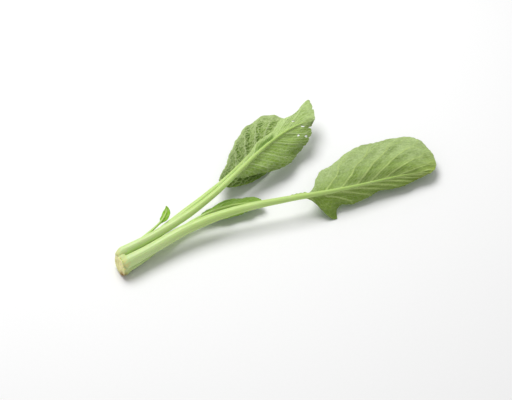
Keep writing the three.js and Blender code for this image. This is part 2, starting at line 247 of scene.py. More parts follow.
def settle(height, lowest):
    """Height laid softly on the surface: a softplus that never falls below the lowest height."""
    return lowest + FLOOR_SOFTNESS * np.logaddexp(0, (height - lowest) / FLOOR_SOFTNESS)


def smooth_step(low, high, x):
    """0 below low, 1 above high, and a cubic ease between them."""
    t = np.clip((x - low) / (high - low), 0, 1)
    return t * t * (3 - 2 * t)


def bell(offset, width):
    """Bell curve: 1 where the offset is zero, and 0.37 one width away on either side."""
    return np.exp(-((offset / width) ** 2))


def unit(vectors):
    """Vectors scaled to length one."""
    return vectors / np.maximum(np.linalg.norm(vectors, axis=-1, keepdims=True), 1e-9)


def buckles(u, v, size, seed, waves=9):
    """Smooth bumps about size apart: a sum of plane waves in seeded directions, near -1 to 1."""
    rng = np.random.default_rng(seed)
    turn = rng.uniform(0, 2 * np.pi, waves)
    rate = 2 * np.pi / (size * rng.uniform(0.7, 1.6, waves))
    phase = rng.uniform(0, 2 * np.pi, waves)
    total = sum(np.sin(r * (u * np.cos(a) + v * np.sin(a)) + p) for a, r, p in zip(turn, rate, phase))
    return total / math.sqrt(waves)


def cell_bowls(u, v, size, seed, count=64):
    """Net of seeded cells: how much farther the second nearest cell centre is than the nearest, over the
    cell size. It is zero on the net's ridges and grows to about one in the middle of each cell."""
    table = np.random.default_rng(seed).uniform(0.15, 0.85, (count, count, 2))
    column, row = np.floor(u / size).astype(int), np.floor(v / size).astype(int)
    near = np.full(u.shape, np.inf)
    second = np.full(u.shape, np.inf)
    for step_u in (-1, 0, 1):
        for step_v in (-1, 0, 1):
            i, j = column + step_u, row + step_v
            jitter = table[i % count, j % count]
            gap = np.hypot((i + jitter[..., 0]) * size - u, (j + jitter[..., 1]) * size - v)
            second = np.minimum(second, np.maximum(near, gap))
            near = np.minimum(near, gap)
    return np.clip((second - near) / size, 0, 1)


def leaf_spine(leaf):
    """Centre line of a leaf: even steps along the direction given by heading and pitch, added up by the
    trapezium rule, with the directions along, across and up at each step."""
    t = np.linspace(0, 1, SPINE_STEPS + 1)
    heading = np.radians(bezier(leaf["headings"], t))
    pitch = np.radians(bezier(leaf["pitches"], t))
    along = np.stack([np.cos(pitch) * np.cos(heading), np.cos(pitch) * np.sin(heading), np.sin(pitch)], -1)
    across = np.stack([-np.sin(heading), np.cos(heading), np.zeros_like(t)], -1)
    steps = (along[1:] + along[:-1]) / 2 * (leaf["length"] / SPINE_STEPS)
    base = np.array([STEM["end_x"] + CLEARANCE, leaf["base_y"], leaf["base_z"]])
    points = base + np.concatenate([np.zeros((1, 3)), np.cumsum(steps, 0)])
    return dict(point=points, along=along, across=across, up=np.cross(along, across))


def frame_at(spine, share):
    """The spine's point and directions at each share, blended between its steps."""
    place = np.clip(share, 0, 1) * SPINE_STEPS
    i = np.minimum(place.astype(int), SPINE_STEPS - 1)
    t = (place - i)[..., None]
    return {key: values[i] * (1 - t) + values[i + 1] * t for key, values in spine.items()}


def stalk_size(leaf, share):
    """Half width and height of the stalk at a share of the leaf."""
    t = np.clip(share / MIDRIB_END, 0, 1)
    return bezier(leaf["stalk_width"], t) / 2, bezier(leaf["stalk_height"], t)


def vein_rank(leaf, half, share, reach):
    """Which side vein a place is at: a whole number on each vein. A vein leans from the blade's lines to
    the tip, as the share raised to a power that grows with the reach."""
    return leaf["veins"] * share ** (1 + half.get("lean", VEIN_LEAN) * reach ** VEIN_CURVE)


def margin_line(leaf, half, share, side):
    """Length of the blade line that leaves the midrib at each share: the curve through the knots, scalloped
    at the side veins, tapered at the base, toothed by seeded waves and bitten by bells."""
    travel = share * (leaf["length"] - leaf["blade_start"])
    swelling = np.cos(2 * np.pi * vein_rank(leaf, half, share, 1))
    line = through_knots(half["knots"], share) * (1 + SCALLOP * swelling)
    line = line * (BASE_WIDTH + (1 - BASE_WIDTH) * smooth_step(0, BASE_TAPER, travel))
    teeth = buckles(travel, side * TOOTH_SHIFT + 0 * share, TOOTH_PITCH, leaf["seed"] + DRAWS["teeth"])
    toothed = np.minimum(1, line / TOOTH_FADE) * smooth_step(TOOTH_STOP, TOOTH_FULL, share)
    line = line + TOOTH * teeth * toothed
    for bite, depth, width in half.get("bites", []):
        line = line - depth * bell(share - bite, width)
    return line


def blade_half(leaf, spine, share, reach, side):
    """One half of the blade's middle sheet. A line leaves the midrib at its fan angle and bends to the tip,
    the half droops as an arc across its width, hollows lie between the side veins and the margin waves."""
    half = leaf["back"] if side > 0 else leaf["front"]
    blade_length = leaf["length"] - leaf["blade_start"]
    spine_share = (leaf["blade_start"] + blade_length * share) / leaf["length"]
    place = frame_at(spine, spine_share)
    line = margin_line(leaf, half, share, side)
    fan = np.radians(bezier(half.get("fan", FAN), share))
    fan_end = np.maximum(0, fan - math.radians(VEIN_BEND) * np.minimum(1, 2 * (1 - share)))
    forward, sideways = arc_end(line, fan, fan_end, reach)
    full_width = arc_end(line, fan, fan_end, 1)[1]
    inner = np.radians(bezier(half["inner"], share))
    outer = np.radians(bezier(half["outer"], share))
    width_share = sideways / np.maximum(full_width, 1e-6)
    out, down = arc_end(full_width, inner, outer, width_share)
    tilt = np.where(reach > 0, inner + (outer - inner) * width_share, 0)[..., None]
    normal = place["up"] * np.cos(tilt) + place["across"] * side * np.sin(tilt)
    fade = np.minimum(1, line / WAVE_FADE) * np.sqrt(np.abs(np.sin(np.pi * share)))
    rank = vein_rank(leaf, half, share, reach)
    between = 0.5 - 0.5 * np.cos(2 * np.pi * rank)
    hollow = leaf["quilt"] * between * 4 * reach * (1 - reach) * np.minimum(1, line / HOLLOW_FADE)
    turns = 2 * np.pi * half["waves"] * share + math.radians(half["phase"])
    wave = half["wave"] * reach ** 2 * np.sin(turns)
    half_width, height = stalk_size(leaf, spine_share)
    seat = height * (1 - FACE_SHARE) + CLEARANCE + FRAME_THICKNESS / 2
    point = (place["point"] + place["across"] * (side * out)[..., None]
             - place["up"] * (down + seat)[..., None] + place["along"] * forward[..., None]
             + normal * ((wave - hollow) * fade)[..., None])
    return dict(point=point, rank=rank, line=line * reach, out=sideways, rib=half_width, rib_height=height)


def line_shares(leaf, spine):
    """Shares of the midrib at which the blade's lines start, so that they are evenly spread over the midrib
    and the two margins taken together: the travelled lengths are added up and read back."""
    t = np.linspace(0, 1, 4 * leaf["lines"] + 1)
    edges = [(side, reach) for side in (1, -1) for reach in (0, 1)]
    rows = [blade_half(leaf, spine, t, np.full_like(t, reach), side)["point"] for side, reach in edges]
    travel = sum(np.linalg.norm(np.diff(row, axis=0), axis=1) for row in rows)
    total = np.append(0, np.cumsum(travel))
    return np.interp(np.linspace(0, total[-1], leaf["lines"] + 1), total, t)


def grid_quads(ids):
    """The four corners of each cell of a grid of vertex numbers."""
    return np.stack([ids[:-1, :-1], ids[1:, :-1], ids[1:, 1:], ids[:-1, 1:]], -1)


def blade_grid(leaf, spine):
    """The middle sheet on one grid: the lines of the back half from base to tip, then those of the front
    half from tip to base, each from the midrib, whose vertices the halves share, to the margin."""
    lines, rows = leaf["lines"], leaf["rows"]
    walk = np.arange(2 * lines + 1)
    order = np.minimum(walk, 2 * lines - walk)
    share = line_shares(leaf, spine)[order][:, None] + np.zeros((1, rows + 1))
    reach = np.linspace(0, 1, rows + 1)[None, :] + np.zeros((2 * lines + 1, 1))
    back = blade_half(leaf, spine, share[:lines + 1], reach[:lines + 1], 1)
    front = blade_half(leaf, spine, share[lines + 1:], reach[lines + 1:], -1)
    sheet = {key: np.concatenate([back[key], front[key]]) for key in back}
    side = np.where(walk <= lines, 1.0, -1.0)[:, None] + np.zeros((1, rows + 1))
    row = np.arange(rows + 1)[None, :]
    ids = np.where(row == 0, order[:, None], lines + walk[:, None] * rows + row)
    return dict(sheet, share=share, reach=reach, side=side, quads=grid_quads(ids))


def slope(field, along_step, out_step):
    """How fast a field changes over the sheet, per millimetre: its two grid differences put through the
    inverse of the grid's metric, which is made of the steps' dot products."""
    along_change, out_change = np.gradient(field, axis=0), np.gradient(field, axis=1)
    pairs = (along_step, along_step), (out_step, out_step), (along_step, out_step)
    aa, bb, ab = ((p * q).sum(-1) for p, q in pairs)
    square = along_change ** 2 * bb - 2 * along_change * out_change * ab + out_change ** 2 * aa
    return np.sqrt(np.maximum(square, 0) / np.maximum(aa * bb - ab ** 2, 1e-9))


def vein_ridges(rank, pace, reach, pleat):
    """Side veins, 0 to 1: bells over the distance to the nearest whole rank, which is the gap in rank over
    the pace. They thin outwards and fork near the margin. Finer ones between them fade on the way out, and
    stand higher on a pleated blade."""
    fork = FORK * smooth_step(FORK_START, 1.0, reach)
    gap = np.abs(np.abs(rank - np.round(rank)) - fork) / np.maximum(pace, LEAST_PACE)
    main = bell(gap, VEIN_WIDTH - VEIN_THINNING * reach) * (1 - VEIN_FALL * reach)
    dense = rank * FINE_RANKS
    gap = np.abs(dense - np.round(dense)) / np.maximum(pace * FINE_RANKS, LEAST_PACE)
    fine = bell(gap, FINE_WIDTH) * (FINE_HEIGHT + PLEAT_HEIGHT * pleat) * (1 - smooth_step(0.4, 0.95, reach))
    return np.maximum(main, fine)


def crease_depth(leaf, share, reach, side):
    """A fold along the back half: a bell across the reach, eased in and out along the midrib."""
    if "crease" not in leaf:
        return np.zeros_like(share)
    start, end, centre, width, depth = leaf["crease"]
    opened = smooth_step(start, end - CREASE_FULL, share)
    closed = smooth_step(end + CREASE_PAST, end - CREASE_EASE, share)
    stretch = opened * closed * (side > 0)
    return depth * stretch * bell(reach - centre, width)


def dust_and_shading_cover(leaf, share, reach, side):
    """Pale wax and painted light on the back half, eased in towards the margin and the tip. Painted shade
    (dusk) is taken off it: beside the back half's midrib, wider towards the tip, and towards the front half's
    margin, where the cover is below zero."""
    if "dust_and_shading" not in leaf:
        return np.zeros_like(share)
    near, far, margin = leaf["dust_and_shading"]["margin"]
    first, last, tip = leaf["dust_and_shading"]["tip"]
    cover = margin * smooth_step(near, far, reach) + tip * smooth_step(first, last, share)
    beside_midrib, at_margin = leaf["dusk"]
    inside = smooth_step(DUSK_WIDTH + DUSK_WIDENING * share, DUSK_FULL, reach) * smooth_step(0.2, 0.5, share)
    outside = smooth_step(MARGIN_DUSK, MARGIN_DUSK_FULL, reach)
    return np.where(side > 0, np.clip(cover, 0, 1) - beside_midrib * inside, -at_margin * outside)


def insect_holes(leaf, grid, middle, normal, out_step):
    """Which quads of the blade its holes leave, and the shift of the corners round them."""
    kept = np.ones(grid["quads"].shape[:2], bool)
    shift = np.zeros_like(middle)
    for half, share, reach, long, short, turn in leaf.get("holes", []):
        apart = np.where(grid["side"][:, :1] == half, np.abs(grid["share"][:, :1] - share), np.inf)
        i, j = apart.argmin(), round(reach * leaf["rows"])
        place = middle[i, j], out_step[i, j], normal[i, j]
        gone, move = eaten(middle, *place, long, short, math.radians(turn))
        kept &= ~gone
        shift = shift + move
    return kept, shift


def blade_piece(leaf, spine, looks, finish):
    """The veined blade: two faces either side of the middle sheet, closed by a rim. The middle buckles, and
    its crinkle cells and its crease sink. Side veins stand up on the face that looks up, the sheet rises
    beside the midrib as a fillet, and insect holes go through both faces."""
    grid = blade_grid(leaf, spine)
    share, reach, side = grid["share"], grid["reach"], grid["side"]
    along_step, out_step = np.gradient(grid["point"], axis=0), np.gradient(grid["point"], axis=1)
    normal = unit(np.cross(along_step, out_step))
    normal[:, 0] = unit(normal[:, 0] + normal[::-1, 0])
    seed = {key: leaf["seed"] + step for key, step in DRAWS.items()}
    u = share * (leaf["length"] - leaf["blade_start"])
    v = grid["line"] * side
    grown = smooth_step(0, 0.06, share)
    calm = smooth_step(0, 6, grid["line"]) * grown
    rank = grid["rank"] + VEIN_SWAY * reach * buckles(u, v, SWAY_PITCH, seed["veins"])
    pace = slope(rank, along_step, out_step)
    veins = vein_ridges(rank, pace, reach, leaf["pleat"]) * grown
    warp = buckles(u, v, NET_WARP_PITCH, seed["net_warp"])
    bowl = cell_bowls(u * leaf["net_squash"] + warp, v, leaf["net_cell"], seed["net"])
    rib = bell(grid["out"], np.maximum(FILLET_WIDTH * grid["rib"], FILLET_LEAST))
    rim = smooth_step(RIM_START, RIM_END, reach)
    crease = crease_depth(leaf, share, reach, side)

    net = leaf["net"] * (NET_LEVEL - smooth_step(0, 0.6, bowl)) * (1 - rim)
    relief = (leaf["buckle"] * buckles(u, v, BUCKLE_PITCH, seed["buckles"]) + net) * calm
    middle = grid["point"] + normal * (relief - crease)[..., None]
    middle[..., 2] = settle(middle[..., 2], FRAME_THICKNESS / 2 + FLOOR_CLEARANCE)
    half_thickness = looks.thickness / MM * (1 - RIM_THINNING * smooth_step(0.9, 1, reach)) / 2
    vein_height = looks.vein_height / MM * veins
    kept, shift = insect_holes(leaf, grid, middle, normal, out_step)
    raised = half_thickness + vein_height + FILLET_HEIGHT * grid["rib_height"] * rib
    top = middle + normal * raised[..., None] + shift
    bottom = middle - normal * (half_thickness - UNDER_VEIN * vein_height * calm)[..., None] + shift

    def flat(field):
        """One value for each vertex: the midrib's row once, then every line's other rows."""
        return np.concatenate([field[:leaf["lines"] + 1, 0], field[:, 1:].reshape(-1, *field.shape[2:])])

    points, faces = thick_sheet(flat(top), flat(bottom), grid["quads"][kept])
    used, faces = np.unique(faces, return_inverse=True)
    face_fields = {
        "rib": rib,
        "rank": rank,
        "pace": np.maximum(pace, LEAST_PACE),
        "bowl": bowl,
        "crinkle": leaf["crinkle"] * (1 - rim) * calm,
        "along": share,
        "reach": reach,
        "crease": crease / max(crease.max(), 1e-9),
        "dust_and_shading": dust_and_shading_cover(leaf, share, reach, side),
        "sheet": np.stack([u, v, np.zeros_like(u)], -1),
    }
    fields = {key: np.concatenate([flat(field), flat(field)])[used] for key, field in face_fields.items()}
    fields["underside"] = np.repeat([1.0, 0.0], len(points) // 2)[used]
    for key in ("fresh", "pleat", "tone"):
        fields[key] = np.full(len(used), float(leaf[key]))
    name = leaf["name"] + "_blade_veined"
    return make_piece(name, points[used], faces.reshape(-1, 4), None, fields, finish)


def eaten(points, centre, out, normal, long, short, turn):
    """A small oval hole: which quads of a grid have their middle inside it, and the shift that carries the
    corners on its brink to its edge. Places are measured from the centre along the oval's axes, which lie
    in the blade at a turn from its line; the edge is made ragged by a wave round it."""
    out = unit(out)
    along = np.cross(out, normal)
    first = along * math.cos(turn) + out * math.sin(turn)
    second = out * math.cos(turn) - along * math.sin(turn)
    a, b = (points - centre) @ first / long, (points - centre) @ second / short
    far = np.hypot(a, b) + 1e-6
    far = far * (1 + 0.12 * np.sin(3 * np.arctan2(b, a) + 40 * long))
    far = np.where(np.linalg.norm(points - centre, axis=-1) < 3 * long, far, 9)
    gone = (far[:-1, :-1] + far[1:, :-1] + far[1:, 1:] + far[:-1, 1:]) / 4 < 1
    padded = np.pad(gone, 1).astype(int)
    around = padded[:-1, :-1] + padded[1:, :-1] + padded[1:, 1:] + padded[:-1, 1:]
    grow = np.where((around > 0) & (around < 4), 1 / far - 1, 0)
    return gone, grow[..., None] * ((a * long)[..., None] * first + (b * short)[..., None] * second)


def thick_sheet(top, bottom, quads):
    """Closed sheet: the quads on the top face, the same quads turned over on the bottom face, and a wall
    under each edge that only one quad has."""
    count = len(top)
    start, end = quads.reshape(-1), np.roll(quads, -1, 1).reshape(-1)
    key = np.minimum(start, end) * count + np.maximum(start, end)
    _, inverse, uses = np.unique(key, return_inverse=True, return_counts=True)
    lone = uses[inverse] == 1
    a, b = start[lone], end[lone]
    walls = np.stack([b, a, a + count, b + count], 1)
    return np.concatenate([top, bottom]), np.concatenate([quads, quads[:, ::-1] + count, walls])


def closed_tube(rings):
    """Closed skin over rings of points: quads between neighbouring rings, and a fan to the middle of each
    end."""
    count, sides = rings.shape[:2]
    points = np.concatenate([rings.reshape(-1, 3), rings[0].mean(0)[None], rings[-1].mean(0)[None]])
    i, j = np.meshgrid(np.arange(count - 1), np.arange(sides), indexing="ij")
    k = (j + 1) % sides
    quads = np.stack([i * sides + j, i * sides + k, (i + 1) * sides + k, (i + 1) * sides + j], -1)
    a, b = np.arange(sides), (np.arange(sides) + 1) % sides
    start, end = count * sides, count * sides + 1
    last = (count - 1) * sides
    fans = np.concatenate([np.stack([np.full(sides, start), b, a], 1),
                           np.stack([np.full(sides, end), last + a, last + b], 1)])
    return points, quads.reshape(-1, 4), fans


def tube_fields(fields):
    """Fields on a tube's rings as one value for each vertex, with the two ends' middles last."""
    return {key: np.concatenate([field.reshape(-1, *field.shape[2:]), field[:1, 0], field[-1:, 0]])
            for key, field in fields.items()}


def strand_place(angle, radius, travel):
    """A place for streaks that run along a tube: round a circle of this radius, and a travel along it."""
    return np.stack(np.broadcast_arrays(np.cos(angle) * radius, np.sin(angle) * radius, travel), -1)


def make_piece(name, points, quads, fans, fields, finish):
    """A smooth mesh object in metres at the origin, with its fields as point attributes."""
    fans = np.zeros((0, 3), int) if fans is None else fans
    corners = np.concatenate([quads.reshape(-1), fans.reshape(-1)]).astype(np.int32)
    sizes = np.concatenate([np.full(len(quads), 4), np.full(len(fans), 3)])
    mesh = bpy.data.meshes.new(name)
    mesh.vertices.add(len(points))
    mesh.vertices.foreach_set("co", ((points - ORIGIN) * MM).astype(np.float32).ravel())
    mesh.loops.add(len(corners))
    mesh.loops.foreach_set("vertex_index", corners)
    mesh.polygons.add(len(sizes))
    mesh.polygons.foreach_set("loop_start", (np.cumsum(sizes) - sizes).astype(np.int32))
    mesh.polygons.foreach_set("use_smooth", np.ones(len(sizes), bool))
    mesh.update(calc_edges=True)
    for key, values in fields.items():
        kind, slot = ("FLOAT_VECTOR", "vector") if values.ndim == 2 else ("FLOAT", "value")
        mesh.attributes.new(key, kind, "POINT").data.foreach_set(slot, values.astype(np.float32).ravel())
    mesh.materials.append(finish)
    if mesh.validate():
        raise RuntimeError(f"{name} has a face that isn't sound")
    piece = bpy.data.objects.new(name, mesh)
    bpy.context.scene.collection.objects.link(piece)
    return piece


def stalk_piece(leaf, spine, looks, finish):
    """Juicy stalk that tapers on as the midrib: an oval, rounder on its outer side and grooved on its inner
    one, carried along the spine. Fine strands run its length, the base swells and narrows again inside the
    stem, the tip runs to a point, and a ragged wing may stand along its side below the blade."""
    count = int(leaf["length"] / STALK["step"])
    share = np.linspace(-ROOT_LENGTH / leaf["length"], STALK["end"], count)[:, None]
    angle = np.linspace(0, 2 * np.pi, STALK["sides"], endpoint=False)[None, :]
    place = frame_at(spine, share)
    point = place["point"] + place["along"] * (np.minimum(share, 0) * leaf["length"])[..., None]
    half_width, height = stalk_size(leaf, share)
    length = share * leaf["length"]
    tuck = np.clip(-length / (STEM["end_x"] - STEM["cut_x"]), 0, 1)
    shrink = STEM["cut_scale"] + (1 - STEM["cut_scale"]) * np.sqrt(1 - tuck)
    point[..., 1] += STEM["cut_shift"] * tuck - (1 - shrink) * (leaf["base_y"] - STEM["centre_y"])
    point[..., 2] -= (1 - shrink) * (leaf["base_z"] - STEM["centre_z"])

    swell = 1 + STALK["swell"] * np.exp(-np.maximum(length, 0) / STALK["swell_length"])
    swell = swell * shrink * (1 - STALK["root_narrowing"] * tuck ** 2)
    taper = np.sqrt(np.clip((1 - share) / STALK["point"], 0.02, 1))
    coarse = np.sin(17 * angle + 1.3 * np.sin(length / 37))
    fine = np.sin(29 * angle + 2 * np.sin(length / 23))
    strands = looks.strand_depth * (0.6 * coarse + 0.4 * fine) * np.minimum(1, half_width / 2)
    bumps = STALK["bump"] * buckles(length, angle * 6, STALK["bump_pitch"], leaf["seed"] + DRAWS["stalk"])
    grow = (1 + strands + bumps) * swell * taper
    outer = np.sin(angle) > 0
    reach = np.where(outer, FACE_SHARE, 1 - FACE_SHARE) * height
    groove = STALK["groove"] * height * bell(np.cos(angle), STALK["groove_width"]) * ~outer
    blade = smooth_step(leaf["blade_start"] - 6, leaf["blade_start"] + 10, length)
    sink = blade * (CLEARANCE + FRAME_THICKNESS) * np.where(outer, 0, np.abs(np.sin(angle)))

    start, end, tall = leaf.get("wing", (0, 1, 0))
    along_wing = np.sin(np.pi * np.clip((length - start) / (end - start), 0, 1))
    notches = buckles(length, 0 * length, STALK["notch_pitch"], leaf["seed"] + DRAWS["wing"])
    across_wing = bell(np.minimum(angle, 2 * np.pi - angle), STALK["wing_width"])
    wing = along_wing * (0.8 + 0.25 * np.clip(notches, -1, 1)) * across_wing
    side_step = half_width * np.cos(angle) * grow + tall * wing
    up_step = reach * np.sin(angle) * grow + groove * (1 - blade) - sink
    rings = point + place["across"] * side_step[..., None] + place["up"] * up_step[..., None]
    fields = tube_fields({
        "along": share + 0 * angle,
        "strands": strand_place(angle, 9, length / 14),
        "wing": wing * min(tall, 1),
        "root": np.clip(-length / ROOT_LENGTH, -1, 1) + 0 * angle,
    })
    return make_piece(leaf["name"] + "_stalk_ribbed", *closed_tube(rings), fields, finish)


def stem_piece(finish):
    """Short oval stem base: rings grow from the middle of the slanting cut to its rim, run along the skin
    to the end and close. A bell-shaped rib swells behind each stalk, ragged teeth stand behind the rim, the
    pith is dished and the cut's fibres stand in a ring."""
    sides, face_rings, skin_rings, end_rings = 160, 26, 34, 6
    face = np.linspace(0.03, 1, face_rings)
    skin = np.linspace(0, 1, skin_rings)[1:]
    end = np.linspace(1, 0.1, end_rings)[1:]
    radial = np.concatenate([face, np.ones(skin_rings - 1), end])[:, None]
    share = np.concatenate([np.zeros(face_rings), skin, np.ones(end_rings - 1)])[:, None]
    angle = np.linspace(0, 2 * np.pi, sides, endpoint=False)[None, :]
    ribs = 0
    for leaf in LEAVES:
        behind = math.atan2(leaf["base_z"] - STEM["centre_z"], leaf["base_y"] - STEM["centre_y"])
        turn = np.arctan2(np.sin(angle - behind), np.cos(angle - behind))
        ribs = ribs + STEM["rib_height"] * bell(turn, math.radians(STEM["rib_angle"]))
    scale = STEM["cut_scale"] + (1 - STEM["cut_scale"]) * np.sqrt(share)
    ragged = STEM["ragged"] * buckles(angle * 10, share * 9, 5, STEM["ragged_seed"]) * (radial >= 1)
    teeth = np.maximum(0, buckles(angle * 10, share * 12, 2.4, STEM["tooth_seed"]))
    teeth = teeth * smooth_step(-0.4, 0.3, np.sin(angle + 0.4))
    frill = bell(share - STEM["tooth_place"], STEM["tooth_width"]) * (radial >= 1) * teeth
    lip = 1 - STEM["lip"] * smooth_step(0.4, 1, share)
    grow = scale * (1 + share * ribs) * lip * (1 + ragged + STEM["tooth"] * frill)
    middle = STEM["centre_y"] + STEM["cut_shift"] * (1 - share)
    y = middle + STEM["half_width"] * grow * radial * np.cos(angle)
    z = np.maximum(0, STEM["centre_z"] + STEM["half_height"] * grow * radial * np.sin(angle))
    cut_x = STEM["cut_x"] + STEM["cut_slant"] * (z - STEM["centre_z"]) + STEM["cut_turn"] * (y - middle)
    x = cut_x + (STEM["end_x"] - cut_x) * share
    ring = STEM["fibre"] * bell(radial - STEM["fibre_ring"], STEM["fibre_width"])
    grain = STEM["grain"] * buckles(y, z, STEM["grain_pitch"], STEM["grain_seed"])
    dish = STEM["dish"] * bell(radial, STEM["dish_radius"])
    x = x + (share == 0) * (radial < 1) * (dish - ring - grain)
    rings = np.stack([x, y, z], -1)
    dry = bell(angle - math.radians(STEM["dry_angle"]), STEM["dry_width"])
    fields = tube_fields({
        "cut": smooth_step(0.12, 0, share) + 0 * angle,
        "radial": radial + 0 * angle,
        "frill": np.clip(frill, 0, 1),
        "dry": dry * smooth_step(0.25, 0.9, radial) * smooth_step(0.6, 0.2, share),
        "strands": strand_place(angle, 8, share * 2),
    })
    return make_piece("stem_base_cut", *closed_tube(rings), fields, finish)


class NodeBoard:
    """A material's node tree, filled node by node."""

    def __init__(self, name):
        self.finish = bpy.data.materials.new(name)
        self.finish.use_nodes = True
        self.tree = self.finish.node_tree
        self.tree.nodes.clear()

    def add(self, kind, inputs=None, **settings):
        """A node of this kind; an input is a value, or another node's socket that is linked to it."""
        made = self.tree.nodes.new(kind)
        for key, value in settings.items():
            setattr(made, key, value)
        for key, value in (inputs or {}).items():
            if isinstance(value, bpy.types.NodeSocket):
                self.tree.links.new(value, made.inputs[key])
            else:
                made.inputs[key].default_value = value
        return made

    def field(self, name, output="Fac"):
        """A point attribute of the piece."""
        return self.add("ShaderNodeAttribute", attribute_name=name).outputs[output]

    def place(self):
        """The place on the object, in metres."""
        return self.add("ShaderNodeTexCoord").outputs["Object"]

    def noise(self, vector, scale, detail=3.0, roughness=0.55):
        """Fractal noise, 0 to 1."""
        keys = {"Vector": vector, "Scale": scale, "Detail": detail, "Roughness": roughness}
        return self.add("ShaderNodeTexNoise", keys).outputs[0]

    def ranged(self, value, low, high, to_low=0.0, to_high=1.0):
        """A value eased from one range to another and clamped."""
        keys = {"Value": value, "From Min": low, "From Max": high, "To Min": to_low, "To Max": to_high}
        return self.add("ShaderNodeMapRange", keys, interpolation_type="SMOOTHSTEP").outputs[0]

    def mixed(self, factor, a, b, blend="MIX"):
        """Two colours, each three numbers or a socket, mixed by a factor."""
        a, b = (tone if isinstance(tone, bpy.types.NodeSocket) else (*tone, 1.0) for tone in (a, b))
        made = self.add("ShaderNodeMix", {0: factor, 6: a, 7: b}, data_type="RGBA", blend_type=blend)
        return made.outputs[2]

    def layered(self, tone, layers):
        """A colour with layers laid over it in turn, each a factor and a colour."""
        for factor, over in layers:
            tone = self.mixed(factor, tone, over)
        return tone

    def maths(self, operation, first, *others):
        """Values put together by an operation, from the first to the last."""
        for other in others:
            first = self.add("ShaderNodeMath", {0: first, 1: other}, operation=operation).outputs[0]
        return first

    def times(self, *values):
        """The product of values."""
        return self.maths("MULTIPLY", *values)

    def most(self, *values):
        """The greatest of values."""
        return self.maths("MAXIMUM", *values)

    def part(self, value, operation="ABSOLUTE"):
        """A value without its sign, or only its fraction."""
        return self.add("ShaderNodeMath", {0: value}, operation=operation).outputs[0]

    def stripes(self, rank, pace, fork):
        """Distance in millimetres to the nearest whole rank, or to the two branches that fork off it."""
        off = self.maths("SUBTRACT", self.part(self.maths("ADD", rank, 0.5), "FRACT"), 0.5)
        off = self.maths("SUBTRACT", self.part(off), fork)
        return self.maths("DIVIDE", self.part(off), pace)

    def bumped(self, height, distance, strength=1.0):
        """A normal from a height in metres."""
        keys = {"Height": height, "Distance": distance, "Strength": strength}
        return self.add("ShaderNodeBump", keys).outputs[0]

    def principled(self, tone, roughness, specular, others=None):
        """A shader of this colour, roughness and specular level, with its other inputs by name."""
        keys = {"Base Color": tone, "Roughness": roughness, "Specular IOR Level": specular, **(others or {})}
        return self.add("ShaderNodeBsdfPrincipled", keys).outputs[0]

    def output(self, shader):
        """The finished material."""
        self.add("ShaderNodeOutputMaterial", {"Surface": shader})
        return self.finish


class BladeBoard(NodeBoard):
    """A blade's node tree, with the fields and the mottling that its layers share."""

    def __init__(self, name):
        super().__init__(name)
        self.along, self.reach, self.dust_and_shading = map(self.field, ("along", "reach", "dust_and_shading"))
        self.rank, self.pace, self.pleat = map(self.field, ("rank", "pace", "pleat"))
        self.crinkle, self.fresh = map(self.field, ("crinkle", "fresh"))
        sheet = self.field("sheet", "Vector")
        self.clouds = self.noise(sheet, 0.07, 4.0, 0.6)
        self.blotches = self.noise(sheet, 0.28, 3.0, 0.6)
        self.specks = self.noise(sheet, 0.9, 4.0, 0.65)
        self.half = self.ranged(self.add("ShaderNodeSeparateXYZ", {0: sheet}).outputs[1], -6.0, 6.0)
        cells = self.add("ShaderNodeTexVoronoi", {"Vector": sheet, "Scale": 0.42, "Randomness": 0.9},
                         feature="DISTANCE_TO_EDGE")
        self.net = self.ranged(cells.outputs["Distance"], 0.02, 0.16, 1.0, 0.0)
        # the painted shadow of the crease, broken up by the specks
        crease_shadow_breakup = self.ranged(self.specks, 0.35, 0.65, 0.75, 1.35)
        self.crease = self.ranged(self.times(self.field("crease"), crease_shadow_breakup), 0.0, 1.0)

    def by_pleat(self, smooth, pleated):
        """A value for a smooth blade that is eased to another for a pleated one."""
        return self.ranged(self.pleat, 0.3, 1.0, smooth, pleated)

    def by_half(self, front, back):
        """A value for the front half that is eased to another for the back half."""
        return self.ranged(self.half, 0.0, 1.0, front, back)


def vein_lines(board):
    """Pale veins, 0 to 1: side veins that thin and fork on the way out, the finer ones between them and the
    fillet of the midrib. They fade in the painted shadow of a crease."""
    gap = board.stripes(board.rank, board.pace, board.ranged(board.reach, FORK_START, 1.0, 0.0, FORK))
    width = board.times(board.ranged(board.reach, 0.0, 1.0, 0.95, 0.5),
                        board.ranged(board.crinkle, 0.5, 1.0, 1.0, 1.3))
    main = board.ranged(board.maths("DIVIDE", gap, width), 0.35, 1.3, 1.0, 0.0)
    main = board.times(main, board.ranged(board.reach, 0.5, 1.0, 1.0, 0.5), board.by_pleat(1.0, 0.75))
    gap = board.stripes(board.times(board.rank, FINE_RANKS), board.times(board.pace, FINE_RANKS), 0.0)
    fade = board.most(board.ranged(board.reach, 0.4, 0.95, 1.0, 0.0), board.pleat)
    strength = board.ranged(board.pleat, 0.0, 1.0, 0.25, 0.6)
    fine = board.times(board.ranged(gap, 0.12, 0.55, 1.0, 0.0), fade, strength)
    rib = board.maths("POWER", board.field("rib"), 3.0)
    return board.times(board.most(main, fine, rib), board.ranged(board.crease, 0.0, 1.0, 1.0, 0.2))


def vein_furrow_shade(board):
    """Painted shade beside each side vein, where the quilted blade slopes away from the lamp, which fades
    across to the next vein, at the midrib and to the margin."""
    beside = board.ranged(board.part(board.rank, "FRACT"), 0.02, 0.75, 1.0, 0.0)
    begin, end = board.ranged(board.reach, 0.05, 0.3), board.ranged(board.reach, 0.65, 1.0, 1.0, 0.3)
    patchy = board.ranged(board.blotches, 0.3, 0.6, 1.0, 0.5)
    return board.times(beside, begin, end, board.by_pleat(0.6, 0.15), board.by_half(0.4, 1.0), patchy)


